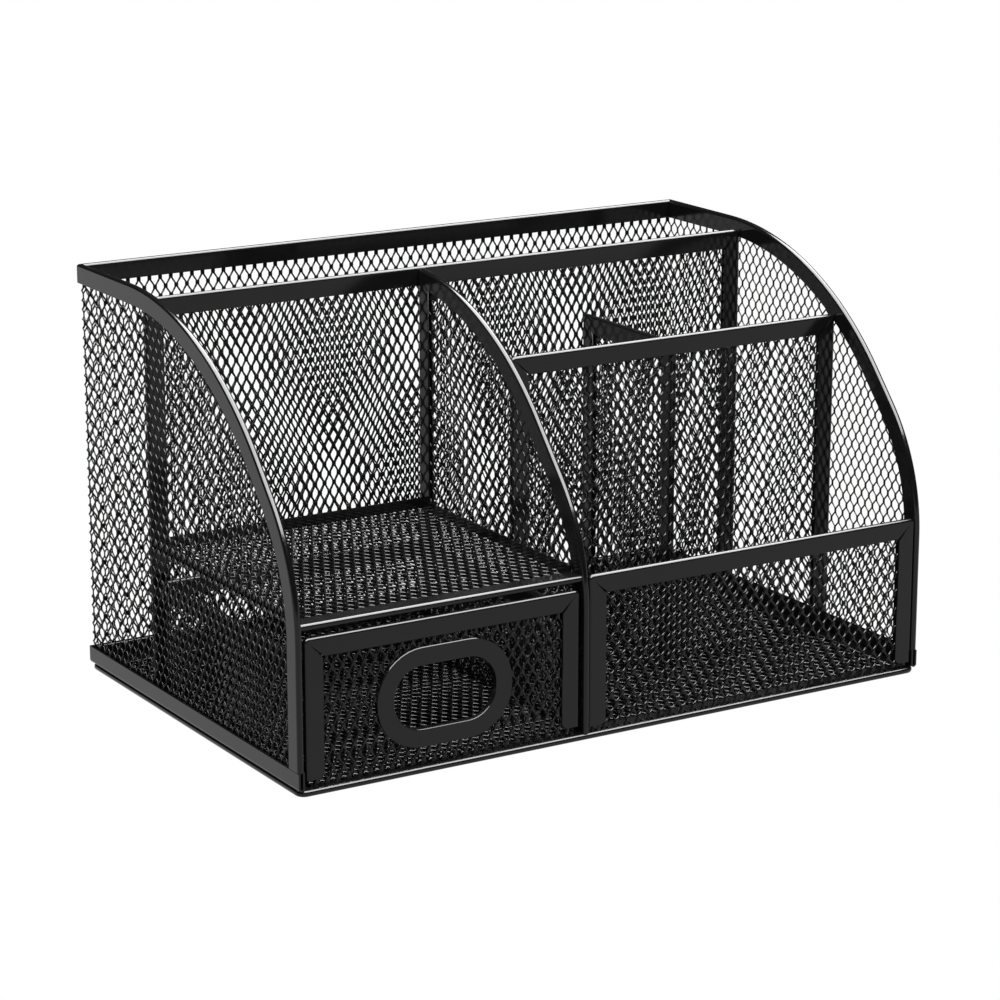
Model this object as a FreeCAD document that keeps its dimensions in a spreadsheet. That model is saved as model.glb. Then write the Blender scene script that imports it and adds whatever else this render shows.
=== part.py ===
"""Pen stand with one drawer, in expanded steel mesh bound with folded steel strip.

The object stands on z = 0 with its front towards -Y. The origin is under the middle of it.
Every panel is a flat sheet of mesh whose free edges sit in a folded strip. A panel is drawn in
its own plane: local X runs inwards from the first edge, local Y runs along that edge, and local
Z is the panel's thickness, with the mesh at local z = 0.
"""
import FreeCAD, Part
import os
import re
from collections import namedtuple

import Sketcher
from FreeCAD import Matrix, Placement, Rotation, Vector

# Driving sizes in millimetres, and two slopes in degrees.
DRIVING_SIZES = {
    "overall_width": 220.0,
    "overall_depth": 140.0,
    "overall_height": 130.0,
    # Folded strip and mesh.
    "sheet_gauge": 0.6,
    "mesh_thickness": 0.8,
    "strip_width": 6.0,
    "band_width": 5.5,
    "fold_chamfer": 0.5,
    "corner_radius": 2.5,
    "foot_radius": 1.8,
    "mitre_gap": 0.4,
    "mitre_stop": 2.0,
    # Diamonds of the expanded mesh, drawn about eight times as coarse as the real ones.
    "diamond_width": 28.0,
    "diamond_height": 46.0,
    "strand_width": 2.4,
    "bend_margin": 2.0,
    # Base.
    "base_inset": 0.2,
    "base_corner_radius": 3.0,
    # Curved front of the two side walls.
    "side_slope": 48.6,
    "side_upper_radius": 107.0,
    "side_lower_radius": 60.0,
    "side_slope_run": 12.6,
    # Rear divider.
    "rear_bay_depth": 39.5,
    "rear_divider_drop": 3.5,
    # Centre divider, which has a curve of its own.
    "drawer_bay_width": 93.5,
    "divider_slope": 48.8,
    "divider_upper_radius": 100.0,
    "divider_lower_radius": 57.0,
    "divider_slope_run": 20.5,
    # Pen cells, tray and shelf.
    "front_setback": 0.5,
    "tray_front_height": 50.5,
    "tray_depth": 41.5,
    "tray_foot_gap": 1.8,
    "pen_panel_height": 107.5,
    "pen_divider_height": 105.0,
    "shelf_height": 50.5,
    "shelf_lip_height": 2.5,
    # Drawer.
    "drawer_setback": 1.0,
    "drawer_rear_gap": 3.5,
    "drawer_side_gap": 1.0,
    "drawer_top_gap": 2.0,
    "drawer_floor_gap": 0.3,
    "drawer_foot_gap": 2.2,
    "drawer_wall_height": 38.0,
    # Pull ring.
    "ring_width": 45.0,
    "ring_height": 30.2,
    "ring_band": 5.5,
    "ring_corner_radius": 14.8,
    "ring_centre_height": 22.8,
}

# Sizes that follow from the driving ones.
DERIVED_SIZES = {
    "strip_thickness": "2 * sheet_gauge + mesh_thickness",
    "half_strip": "strip_thickness / 2",
    "half_mesh": "mesh_thickness / 2",
    "base_top": "strip_thickness",
    "band_top": "base_top + band_width",
    "mesh_foot": "base_top + sheet_gauge",
    # Planes across the width.
    "wall_inside": "overall_width / 2 - strip_thickness",
    "centre_left": "drawer_bay_width - wall_inside",
    "centre_right": "centre_left + strip_thickness",
    "cell_width": "wall_inside - centre_right",
    "pen_divider_x": "centre_right + cell_width / 2",
    # Planes along the depth.
    "front_edge": "-overall_depth / 2",
    "back_inside": "overall_depth / 2 - strip_thickness",
    "rear_divider_y": "back_inside - rear_bay_depth - half_strip",
    "rear_divider_front": "rear_divider_y - half_strip",
    "tray_front_y": "front_edge + front_setback + half_strip",
    "pen_panel_y": "tray_front_y + half_strip + tray_depth + half_strip",
    "pen_divider_length": "rear_divider_front + sheet_gauge - pen_panel_y - half_strip",
    "divider_length": "rear_divider_front - front_edge",
    # Both dividers end at the same height, a step below the walls.
    "rear_divider_height": "overall_height - rear_divider_drop",
    "divider_crown_height": "rear_divider_height",
    # Shelf.
    "shelf_z": "shelf_height - half_strip",
    "shelf_front": "front_edge + front_setback + drawer_setback",
    # Drawer.
    "drawer_bottom": "base_top + drawer_floor_gap",
    "drawer_front_top": "shelf_height - strip_thickness - drawer_top_gap",
    "drawer_front_height": "drawer_front_top - drawer_bottom",
    "drawer_width": "drawer_bay_width - 2 * drawer_side_gap",
    "drawer_left": "drawer_side_gap - wall_inside",
    "drawer_right": "drawer_left + drawer_width",
    "drawer_front_y": "front_edge + drawer_setback + half_strip",
    "drawer_back_y": "rear_divider_front - drawer_rear_gap - half_strip",
    "drawer_floor_z": "drawer_bottom + half_mesh",
    "drawer_box_start": "drawer_front_y + half_strip",
    "drawer_box_length": "drawer_back_y + half_strip - drawer_box_start",
    "drawer_wall_foot": "drawer_bottom + mesh_thickness",
    "drawer_wall_top": "drawer_bottom + drawer_wall_height",
    "ring_centre_x": "drawer_width / 2",
    "ring_centre_y": "ring_centre_height - drawer_bottom",
}

# A diamond cut by the edge of its window stays closed below this share of a whole one.
SMALLEST_DIAMOND_SHARE = 0.09
# A test point counts as being on a line within this distance.
ON_LINE = 1e-4

NAMES = re.compile(r"\b[a-z]+(?:_[a-z]+)+\b")

doc = FreeCAD.newDocument("pen_stand_with_drawer")


def make_sheet():
    """Write the driving sizes into the spreadsheet, one aliased row each."""
    sheet = doc.addObject("Spreadsheet::Sheet", "Sizes")
    for row, (name, size) in enumerate(DRIVING_SIZES.items(), start=1):
        sheet.set(f"A{row}", name)
        sheet.set(f"B{row}", str(size))
        sheet.setAlias(f"B{row}", name)
    doc.recompute()


make_sheet()


def expression(text):
    """Turn plain size names into an expression on the spreadsheet's cells."""
    def spell(match):
        name = match.group(0)
        if name in DERIVED_SIZES:
            return f"({expression(DERIVED_SIZES[name])})"
        return f"Sizes.{name}"
    return NAMES.sub(spell, text)


PROBE = doc.addObject("App::FeaturePython", "Probe")


def value(text):
    """The number that an expression on the size names gives."""
    return float(PROBE.evalExpression(expression(text)))


# Outlines

# A corner of an outline in local X and Y. An arc that arrives at it has a centre and a radius.
Corner = namedtuple("Corner", "x y centre radius", defaults=(None, None))


def point(x, y):
    return Vector(value(x), value(y), 0)


def edges_of(outline, closed=True):
    """The edges of an outline as Part curves, each with its end points."""
    spots = [point(corner.x, corner.y) for corner in outline]
    edges = []
    for index, corner in enumerate(outline):
        if index == 0 and not closed:
            continue
        start, end = spots[index - 1], spots[index]
        if corner.centre is None:
            edges.append((Part.LineSegment(start, end), start, end, None))
            continue
        centre = point(*corner.centre)
        middle = (start - centre) + (end - centre)
        middle.normalize()
        middle = centre + middle * value(corner.radius)
        edges.append((Part.Arc(start, middle, end), start, end, centre))
    return edges


def wire_of(outline, closed=True):
    return Part.Wire([curve.toShape() for curve, *_ in edges_of(outline, closed)])


def face_of(outline):
    return Part.Face(wire_of(outline))


def draw(sketch, outline):
    """Draw an outline in a sketch, with every corner and radius bound to the spreadsheet."""
    first = sketch.GeometryCount
    ends = []
    for curve, start, end, centre in edges_of(outline):
        sketch.addGeometry(curve)
        turns_left = centre is None or (start - centre).cross(end - centre).z > 0
        ends.append((1, 2) if turns_left else (2, 1))
    for index, corner in enumerate(outline):
        here = first + index
        after = first + (index + 1) % len(outline)
        end = ends[index][1]
        sketch.addConstraint(Sketcher.Constraint("Coincident", here, end, after, ends[after - first][0]))
        for kind, axis, text in (("DistanceX", -2, corner.x), ("DistanceY", -1, corner.y)):
            if text == "0":
                sketch.addConstraint(Sketcher.Constraint("PointOnObject", here, end, axis))
                continue
            bound = sketch.addConstraint(Sketcher.Constraint(kind, -1, 1, here, end, value(text)))
            sketch.setExpression(f"Constraints[{bound}]", expression(text))
        if corner.centre is not None:
            bound = sketch.addConstraint(Sketcher.Constraint("Radius", here, value(corner.radius)))
            sketch.setExpression(f"Constraints[{bound}]", expression(corner.radius))


def box(left, low, right, high):
    """A plain rectangle, from its lowest left corner upwards."""
    return [Corner(left, low), Corner(left, high), Corner(right, high), Corner(right, low)]


def rounded_box(centre, width, height, radius):
    """A rectangle with round corners about a centre."""
    middle_x, middle_y = centre
    left, right = f"{middle_x} - {width} / 2", f"{middle_x} + {width} / 2"
    low, high = f"{middle_y} - {height} / 2", f"{middle_y} + {height} / 2"
    near_x, far_x = f"{left} + {radius}", f"{right} - {radius}"
    near_y, far_y = f"{low} + {radius}", f"{high} - {radius}"
    return [
        Corner(left, near_y, (near_x, near_y), radius),
        Corner(left, far_y),
        Corner(near_x, high, (near_x, far_y), radius),
        Corner(far_x, high),
        Corner(right, far_y, (far_x, far_y), radius),
        Corner(right, near_y),
        Corner(far_x, low, (far_x, near_y), radius),
        Corner(near_x, low),
    ]


def arch(width, height, foot, inset, radius):
    """Up, across and down again, with the two top corners round."""
    right, top = f"({width} - {inset})", f"({height} - {inset})"
    near_x, far_x = f"({inset} + {radius})", f"({right} - {radius})"
    near_y = f"({top} - {radius})"
    return [
        Corner(inset, foot),
        Corner(inset, near_y),
        Corner(near_x, top, (near_x, near_y), radius),
        Corner(far_x, top),
        Corner(right, near_y, (far_x, near_y), radius),
        Corner(right, foot),
    ]


def mitred_return(width, height, foot, strip):
    """The inner edge of an arch, walked back: round feet, and a fine gap along each mitre."""
    right, top = f"({width} - {strip})", f"({height} - {strip})"
    far, near, rise = f"({right} + foot_radius)", f"({strip} - foot_radius)", f"({foot} + foot_radius)"
    return [
        Corner(far, foot),
        Corner(right, rise, (far, rise), "foot_radius"),
        Corner(right, f"({top} - mitre_gap)"),
        Corner(f"({width} - mitre_stop)", f"({height} - mitre_stop)"),
        Corner(f"({right} - mitre_gap)", top),
        Corner(f"({strip} + mitre_gap)", top),
        Corner("mitre_stop", f"({height} - mitre_stop)"),
        Corner(strip, f"({top} - mitre_gap)"),
        Corner(strip, rise),
        Corner(near, foot, (near, rise), "foot_radius"),
    ]


# A curved front: a crown height, and a slope between an upper and a lower arc.
Curve = namedtuple("Curve", "height slope upper lower run")
SIDE_CURVE = Curve(
    "overall_height", "side_slope", "side_upper_radius", "side_lower_radius", "side_slope_run"
)
DIVIDER_CURVE = Curve(
    "divider_crown_height",
    "divider_slope",
    "divider_upper_radius",
    "divider_lower_radius",
    "divider_slope_run",
)


def arc_height(centre_x, centre_y, radius, x):
    """How high the top of a circle is at a place along it."""
    return f"({centre_y} + sqrt({radius} ^ 2 - ({centre_x} - {x}) ^ 2))"


def climb(curve, inset, back=None):
    """The curved front from its upright to its crown, or to a back edge short of the crown."""
    sine, cosine = f"sin({curve.slope})", f"cos({curve.slope})"
    upper, lower = f"({curve.upper} - {inset})", f"({curve.lower} - {inset})"
    lower_y = (
        f"({curve.height} - {curve.upper} * (1 - {cosine}) - {curve.run} * {sine}"
        f" - {curve.lower} * {cosine})"
    )
    upper_x = f"({curve.lower} * (1 - {sine}) + {curve.run} * {cosine} + {curve.upper} * {sine})"
    upper_y = f"({curve.height} - {curve.upper})"
    end_x, end_y = upper_x, f"({upper_y} + {upper})"
    if back is not None:
        end_x = back
        end_y = arc_height(upper_x, upper_y, upper, back)
    return [
        Corner(inset, lower_y),
        Corner(
            f"({curve.lower} - {lower} * {sine})",
            f"({lower_y} + {lower} * {cosine})",
            (curve.lower, lower_y),
            lower,
        ),
        Corner(f"({upper_x} - {upper} * {sine})", f"({upper_y} + {upper} * {cosine})"),
        Corner(end_x, end_y, (upper_x, upper_y), upper),
    ]


def climb_to_corner(curve, inset, back):
    """The curved front, with a round corner where it meets an upright back edge."""
    *front, end = climb(curve, inset)
    upper_x, upper_y = end.centre
    corner_x = f"({back} - corner_radius)"
    reach = f"({curve.upper} - corner_radius)"
    corner_y = arc_height(upper_x, upper_y, reach, corner_x)
    share = f"(({curve.upper} - {inset}) / {reach})"
    return front + [
        Corner(
            f"({upper_x} + ({corner_x} - {upper_x}) * {share})",
            f"({upper_y} + ({corner_y} - {upper_y}) * {share})",
            end.centre,
            end.radius,
        ),
        Corner(f"({back} - {inset})", corner_y, (corner_x, corner_y), f"(corner_radius - {inset})"),
    ]


def descend(curve, inset, back=None):
    """The same curve walked down, so that each arc belongs to the corner it arrives at."""
    foot, knee, shoulder, crown = climb(curve, inset, back)
    return [
        Corner(crown.x, crown.y),
        Corner(shoulder.x, shoulder.y, crown.centre, crown.radius),
        Corner(knee.x, knee.y),
        Corner(foot.x, foot.y, knee.centre, knee.radius),
    ]


# Solids

RIGHTWARDS = Vector(1, 0, 0)
BACKWARDS = Vector(0, 1, 0)
UPWARDS, DOWNWARDS = Vector(0, 0, 1), Vector(0, 0, -1)

# Where a panel lies: its origin, and the directions of its local X and Y.
Seat = namedtuple("Seat", "origin inward run")

subparts = []


def place(thing, seat):
    """Seat a piece, with its origin bound to the spreadsheet."""
    turn = Rotation(seat.inward, seat.run, seat.inward.cross(seat.run), "XYZ")
    thing.Placement = Placement(Vector(*[value(text) for text in seat.origin]), turn)
    for axis, text in zip("xyz", seat.origin):
        thing.setExpression(f"Placement.Base.{axis}", expression(text))


def new_body(name, seat):
    body = doc.addObject("PartDesign::Body", f"Body_{name}")
    body.Label = name
    place(body, seat)
    subparts.append(body)
    return body


def new_sketch(body, outlines, role="XY_Plane"):
    sketch = body.newObject("Sketcher::SketchObject", "Sketch")
    plane = next(item for item in body.Origin.OriginFeatures if item.Role == role)
    sketch.AttachmentSupport = [(plane, "")]
    sketch.MapMode = "FlatFace"
    for outline in outlines:
        draw(sketch, outline)
    return sketch


def pad(body, outlines, thickness):
    feature = body.newObject("PartDesign::Pad", "Pad")
    feature.Profile = new_sketch(body, outlines)
    feature.Midplane = True
    feature.setExpression("Length", expression(thickness))
    return feature


def pocket(body, outlines, thickness, role="XY_Plane"):
    """Cut outlines out of a body, evenly to both sides of their plane."""
    feature = body.newObject("PartDesign::Pocket", "Pocket")
    feature.Profile = new_sketch(body, outlines, role)
    feature.Midplane = True
    feature.setExpression("Length", expression(thickness))
    return feature


def chamfer_fold(body, folded):
    """Break both long edges of the fold, which is where the strip turns back on itself."""
    doc.recompute()
    solid = body.Tip
    fold = wire_of(folded, closed=False)
    half = value("half_strip")
    names = []
    for number, edge in enumerate(solid.Shape.Edges, start=1):
        middle = edge.valueAt((edge.FirstParameter + edge.LastParameter) / 2)
        on_face = abs(abs(middle.z) - half) < ON_LINE
        flat = Part.Vertex(middle.x, middle.y, 0)
        if on_face and fold.distToShape(flat)[0] < ON_LINE:
            names.append(f"Edge{number}")
    feature = body.newObject("PartDesign::Chamfer", "Chamfer")
    feature.Base = (solid, names)
    feature.setExpression("Size", expression("fold_chamfer"))


def mitre(body, role, end, towards, outer):
    """Cut one end of a strip to 45 degrees, where it meets the next wall's strip."""
    near, far = ("half_strip", "-half_strip") if outer > 0 else ("-half_strip", "half_strip")
    back = f"({end} - strip_thickness)" if towards > 0 else f"({end} + strip_thickness)"
    corner = [Corner(end, near), Corner(end, far), Corner(back, far)]
    pocket(body, [corner], "overall_height * 2 + overall_width * 2", role)


def edging(name, seat, folded, inner, slot, closed=False):
    """A folded strip: a flat outline, slotted for the mesh, with the fold's edges broken."""
    body = new_body(name, seat)
    pad(body, [folded, inner] if closed else [folded + inner], "strip_thickness")
    pocket(body, [slot], "mesh_thickness")
    chamfer_fold(body, folded + folded[:1] if closed else folded)
    return body


def straight_edging(name, seat, length, width, closed_start=False):
    """A straight strip whose fold is at local X = 0."""
    start = "sheet_gauge" if closed_start else "0"
    folded = [Corner("0", "0"), Corner("0", length)]
    inner = [Corner(width, length), Corner(width, "0")]
    return edging(name, seat, folded, inner, box("sheet_gauge", start, width, length))


def framed_edging(name, seat, width, height, foot="0"):
    """A strip folded round the two sides and the top of an upright panel."""
    strip_radius = "corner_radius"
    slot_radius = "(corner_radius - sheet_gauge)"
    folded = arch(width, height, foot, "0", strip_radius)
    inner = mitred_return(width, height, foot, "strip_width")
    slot = arch(width, height, foot, "sheet_gauge", slot_radius)
    return edging(name, seat, folded, inner, slot)


def diamonds_over(window):
    """Diamond openings in staggered columns, a whole number of half diamonds each way."""
    bounds = window.BoundBox
    columns = max(2, round(2 * bounds.XLength / value("diamond_width")))
    rows = max(2, round(2 * bounds.YLength / value("diamond_height")))
    half_width, half_height = bounds.XLength / columns, bounds.YLength / rows
    side = (half_width**2 + half_height**2) ** 0.5
    shrink = 1 - value("strand_width") / 2 * side / (half_width * half_height)
    reach_x, reach_y = half_width * shrink, half_height * shrink
    openings = []
    for column in range(columns + 1):
        for row in range(column % 2, rows + 1, 2):
            x = bounds.XMin + column * half_width
            y = bounds.YMin + row * half_height
            spots = [
                Vector(x - reach_x, y, 0),
                Vector(x, y - reach_y, 0),
                Vector(x + reach_x, y, 0),
                Vector(x, y + reach_y, 0),
            ]
            openings.append(Part.Face(Part.makePolygon(spots + spots[:1])))
    whole = 2 * reach_x * reach_y
    cut = window.common(Part.Compound(openings)).Faces
    return [face.OuterWire for face in cut if face.Area > whole * SMALLEST_DIAMOND_SHARE]


def mesh_solid(outline, window, holes=()):
    """One flat sheet of expanded mesh: a single holed face, thickened about its middle."""
    inner = [wire_of(hole) for hole in holes] + diamonds_over(window)
    face = Part.Face([wire_of(outline)] + inner, "Part::FaceMakerCheese")
    solid = face.extrude(Vector(0, 0, value("mesh_thickness")))
    sink = Matrix()
    sink.move(Vector(0, 0, -value("half_mesh")))
    return solid.transformed(sink, copy=True)


def mesh_piece(name, seat, solid):
    piece = doc.addObject("Part::Feature", f"Sheet_{name}")
    piece.Label = name
    piece.Shape = solid
    place(piece, seat)
    subparts.append(piece)
    return piece


# Panels

FRONT_VIEW = (RIGHTWARDS, UPWARDS)
SIDE_VIEW = (BACKWARDS, UPWARDS)
PLAN_VIEW = (RIGHTWARDS, BACKWARDS)


def base():
    """The floor of the stand: mesh in a strip folded round all four sides."""
    left, front = "base_inset - overall_width / 2", "front_edge"
    width = "(overall_width - 2 * base_inset)"
    depth = "(overall_depth - base_inset)"
    seat = Seat((left, front, "half_strip"), *PLAN_VIEW)
    middle = (f"{width} / 2", f"{depth} / 2")

    def ring(inset):
        return rounded_box(
            middle,
            f"({width} - 2 * {inset})",
            f"({depth} - 2 * {inset})",
            f"(base_corner_radius - {inset})",
        )

    inside = box("strip_width", "strip_width", f"({width} - strip_width)", f"({depth} - strip_width)")
    edging("base_edging", seat, ring("0"), inside, ring("sheet_gauge"), closed=True)
    mesh_piece("base_mesh", seat, mesh_solid(ring("sheet_gauge"), face_of(inside)))


def side_wall(hand, name):
    """A side wall: mesh, the strip up its curved front and along its top, and a bottom band."""
    middle_x = "(wall_inside + half_strip)"
    x = middle_x if hand > 0 else f"-{middle_x}"
    seat = Seat((x, "front_edge", "0"), *SIDE_VIEW)
    folded = (
        [Corner("0", "band_top")] + climb(SIDE_CURVE, "0") + [Corner("overall_depth", "overall_height")]
    )
    inner = (
        [Corner("overall_depth", "(overall_height - strip_width)")]
        + descend(SIDE_CURVE, "strip_width")
        + [Corner("strip_width", "band_top")]
    )

    def sheet(inset, foot, back):
        top = f"(overall_height - {inset})"
        return (
            [Corner(inset, foot)]
            + climb(SIDE_CURVE, inset)
            + [Corner(back, top), Corner(back, foot)]
        )

    strip = edging(
        f"{name}_side_edging", seat, folded, inner, sheet("sheet_gauge", "band_top", "overall_depth")
    )
    mitre(strip, "XZ_Plane", "overall_depth", 1, hand)
    outline = sheet("sheet_gauge", "mesh_foot", "(overall_depth - sheet_gauge)")
    window = sheet("strip_width", "band_top", "(overall_depth - strip_thickness - bend_margin)")
    mesh_piece(f"{name}_side_mesh", seat, mesh_solid(outline, face_of(window)))
    band = straight_edging(
        f"{name}_bottom_band",
        Seat((x, "front_edge", "base_top"), UPWARDS, BACKWARDS),
        "overall_depth",
        "band_width",
        closed_start=True,
    )
    mitre(band, "YZ_Plane", "overall_depth", 1, -hand)


def back_wall():
    """The back wall: mesh between the side walls' mesh, a top strip and a bottom band."""
    left = "-overall_width / 2"
    middle_y = "(back_inside + half_strip)"
    inset = "(sheet_gauge + mesh_thickness)"
    width, height = f"(overall_width - 2 * {inset})", "(overall_height - sheet_gauge - mesh_foot)"
    margin = "(bend_margin + sheet_gauge)"
    seat = Seat((f"{left} + {inset}", middle_y, "mesh_foot"), *FRONT_VIEW)
    window = box(
        margin,
        "(band_top - mesh_foot)",
        f"({width} - {margin})",
        "(overall_height - strip_width - mesh_foot)",
    )
    mesh_piece("back_mesh", seat, mesh_solid(box("0", "0", width, height), face_of(window)))
    top = straight_edging(
        "back_top_edging",
        Seat((left, middle_y, "overall_height"), DOWNWARDS, RIGHTWARDS),
        "overall_width",
        "strip_width",
    )
    band = straight_edging(
        "back_bottom_band",
        Seat((left, middle_y, "base_top"), UPWARDS, RIGHTWARDS),
        "overall_width",
        "band_width",
    )
    for strip, outer in ((top, -1), (band, 1)):
        mitre(strip, "YZ_Plane", "overall_width", 1, outer)
        mitre(strip, "YZ_Plane", "0", -1, outer)


def framed_panel(name, seat, width, height, foot_gap="0"):
    """An upright panel: mesh with a strip round its two sides and its top."""
    framed_edging(f"{name}_edging", seat, width, height, foot_gap)
    outline = arch(width, height, "0", "sheet_gauge", "(corner_radius - sheet_gauge)")
    window = box("strip_width", "sheet_gauge", f"({width} - strip_width)", f"({height} - strip_width)")
    mesh_piece(f"{name}_mesh", seat, mesh_solid(outline, face_of(window)))


def dividers():
    """The full-width rear divider, the pen panel, the pen divider and the tray's front."""
    framed_panel(
        "rear_divider",
        Seat(("-wall_inside", "rear_divider_y", "base_top"), *FRONT_VIEW),
        "(2 * wall_inside)",
        "(rear_divider_height - base_top)",
    )
    framed_panel(
        "pen_panel",
        Seat(("centre_right", "pen_panel_y", "base_top"), *FRONT_VIEW),
        "cell_width",
        "(pen_panel_height - base_top)",
    )
    framed_panel(
        "pen_divider",
        Seat(("pen_divider_x", "pen_panel_y + half_strip", "base_top"), *SIDE_VIEW),
        "pen_divider_length",
        "(pen_divider_height - base_top)",
    )
    framed_panel(
        "tray_front",
        Seat(("centre_right", "tray_front_y", "base_top"), *FRONT_VIEW),
        "cell_width",
        "(tray_front_height - base_top)",
        "tray_foot_gap",
    )


def centre_divider():
    """The divider beside the drawer, with a curved front of its own and an upright at its back."""
    seat = Seat(("centre_left + half_strip", "front_edge", "0"), *SIDE_VIEW)
    strip = "strip_width"
    back = f"(divider_length - {strip})"
    folded = (
        [Corner("0", "base_top")]
        + climb_to_corner(DIVIDER_CURVE, "0", "divider_length")
        + [Corner("divider_length", "base_top")]
    )
    inner = (
        [Corner(back, "base_top")] + descend(DIVIDER_CURVE, strip, back) + [Corner(strip, "base_top")]
    )

    def sheet(inset, foot):
        curve = climb_to_corner(DIVIDER_CURVE, inset, "divider_length")
        return [Corner(inset, foot)] + curve + [Corner(f"(divider_length - {inset})", foot)]

    outline = sheet("sheet_gauge", "base_top")
    edging("centre_divider_edging", seat, folded, inner, outline)
    window = (
        [Corner(strip, "mesh_foot")] + climb(DIVIDER_CURVE, strip, back) + [Corner(back, "mesh_foot")]
    )
    mesh_piece("centre_divider_mesh", seat, mesh_solid(outline, face_of(window)))


def shelf():
    """The shelf over the drawer: mesh with three lips turned up and a strip along its front."""
    seat = Seat(("-wall_inside", "shelf_front", "shelf_z"), *PLAN_VIEW)
    width, depth = "drawer_bay_width", "(rear_divider_front - shelf_front)"
    outline = box("0", "sheet_gauge", width, depth)
    margin = "bend_margin"
    window = box(margin, "strip_width", f"({width} - {margin})", f"({depth} - {margin})")
    solid = mesh_solid(outline, face_of(window))
    lip, front = value("mesh_thickness"), value("strip_width")
    tall = value("half_mesh + shelf_lip_height")
    wide, deep = value(width), value(depth)
    lips = [
        Part.makeBox(lip, deep - front, tall, Vector(0, front, 0)),
        Part.makeBox(lip, deep - front, tall, Vector(wide - lip, front, 0)),
        Part.makeBox(wide, lip, tall, Vector(0, deep - lip, 0)),
    ]
    mesh_piece("shelf_mesh", seat, solid.fuse(lips).removeSplitter())
    straight_edging(
        "shelf_front_edging",
        Seat(("-wall_inside", "shelf_front", "shelf_z"), BACKWARDS, RIGHTWARDS),
        width,
        "strip_width",
    )


def drawer_front():
    """The drawer's front: framed mesh with an oval finger hole, bound by the pull ring."""
    seat = Seat(("drawer_left", "drawer_front_y", "drawer_bottom"), *FRONT_VIEW)
    width, height = "drawer_width", "drawer_front_height"
    framed_edging("drawer_front_edging", seat, width, height, "drawer_foot_gap")
    centre = ("ring_centre_x", "ring_centre_y")

    def ring(inset):
        return rounded_box(
            centre,
            f"(ring_width - 2 * {inset})",
            f"(ring_height - 2 * {inset})",
            f"(ring_corner_radius - {inset})",
        )

    finger_hole, mesh_hole = ring("ring_band"), ring("(ring_band - sheet_gauge)")
    outline = arch(width, height, "0", "sheet_gauge", "(corner_radius - sheet_gauge)")
    window = box("strip_width", "mesh_thickness", f"({width} - strip_width)", f"({height} - strip_width)")
    open_mesh = face_of(window).cut(face_of(ring("0")))
    mesh_piece("drawer_front_mesh", seat, mesh_solid(outline, open_mesh, [mesh_hole]))
    body = new_body("drawer_pull_ring", seat)
    pad(body, [ring("0"), finger_hole], "strip_thickness")
    pocket(body, [ring("(-sheet_gauge)"), mesh_hole], "mesh_thickness")


def drawer_box():
    """The drawer's tray: mesh floor, mesh walls standing on it, and a strip along each top."""
    wall_height = "(drawer_wall_top - sheet_gauge - drawer_wall_foot)"
    margin, rim = "bend_margin", f"({wall_height} - band_width + sheet_gauge)"
    inset = "(sheet_gauge + mesh_thickness)"

    def sheet(name, origin, view, width, height, top):
        window = box(margin, margin, f"({width} - {margin})", top)
        mesh_piece(name, Seat(origin, *view), mesh_solid(box("0", "0", width, height), face_of(window)))

    floor_width = "(drawer_width - 2 * sheet_gauge)"
    floor_depth = "(drawer_back_y - drawer_front_y)"
    sheet(
        "drawer_floor_mesh",
        ("drawer_left + sheet_gauge", "drawer_front_y + half_mesh", "drawer_floor_z"),
        PLAN_VIEW,
        floor_width,
        floor_depth,
        f"({floor_depth} - {margin})",
    )
    wall_length = "(drawer_back_y + half_mesh - drawer_box_start)"
    for name, x in (("left", "drawer_left + half_strip"), ("right", "drawer_right - half_strip")):
        origin = (x, "drawer_box_start", "drawer_wall_foot")
        sheet(f"drawer_{name}_mesh", origin, SIDE_VIEW, wall_length, wall_height, rim)
    back_width = f"(drawer_width - 2 * {inset})"
    origin = (f"drawer_left + {inset}", "drawer_back_y", "drawer_wall_foot")
    sheet("drawer_back_mesh", origin, FRONT_VIEW, back_width, wall_height, rim)

    for name, x, outer in (
        ("left", "drawer_left + half_strip", -1),
        ("right", "drawer_right - half_strip", 1),
    ):
        top = Seat((x, "drawer_box_start", "drawer_wall_top"), DOWNWARDS, BACKWARDS)
        strip = straight_edging(f"drawer_{name}_rim", top, "drawer_box_length", "band_width")
        mitre(strip, "YZ_Plane", "drawer_box_length", 1, outer)
    top = Seat(("drawer_left", "drawer_back_y", "drawer_wall_top"), DOWNWARDS, RIGHTWARDS)
    strip = straight_edging("drawer_back_rim", top, "drawer_width", "band_width")
    mitre(strip, "YZ_Plane", "drawer_width", 1, -1)
    mitre(strip, "YZ_Plane", "0", -1, -1)


def write_parts():
    """Check every object, then write each sub-part to its own STEP file."""
    doc.recompute()
    for thing in doc.Objects:
        wrong = {"Invalid", "Error"}.intersection(thing.State)
        if wrong:
            raise SystemExit(f"{thing.Name} ({thing.Label}) is {wrong}")
    os.makedirs("parts", exist_ok=True)
    for thing in subparts:
        shape = thing.Shape
        if shape.isNull() or not shape.isValid() or len(shape.Solids) != 1:
            raise SystemExit(f"{thing.Label} has no single valid solid")
        shape.exportStep(f"parts/{thing.Label}.step")
        print(f"{thing.Label}: {shape.Volume:.0f} mm3, {len(shape.Faces)} faces")


base()
side_wall(-1, "left")
side_wall(1, "right")
back_wall()
dividers()
centre_divider()
shelf()
drawer_front()
drawer_box()
write_parts()
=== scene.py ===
# %% [markdown]
# Pen stand with one drawer. The real thing is welded up from sheets of expanded steel mesh whose
# free edges sit in folded steel strip, all under one coat of satin black powder. Two makes of
# part give it its look, so this lesson builds two tools: one lays real diamonds over any flat
# panel, and one folds a strip round any edge. Every panel is then a few lines.

# %% The frame that the looks are built on
import math

import bmesh
import bpy
from mathutils import Matrix, Vector


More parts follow.
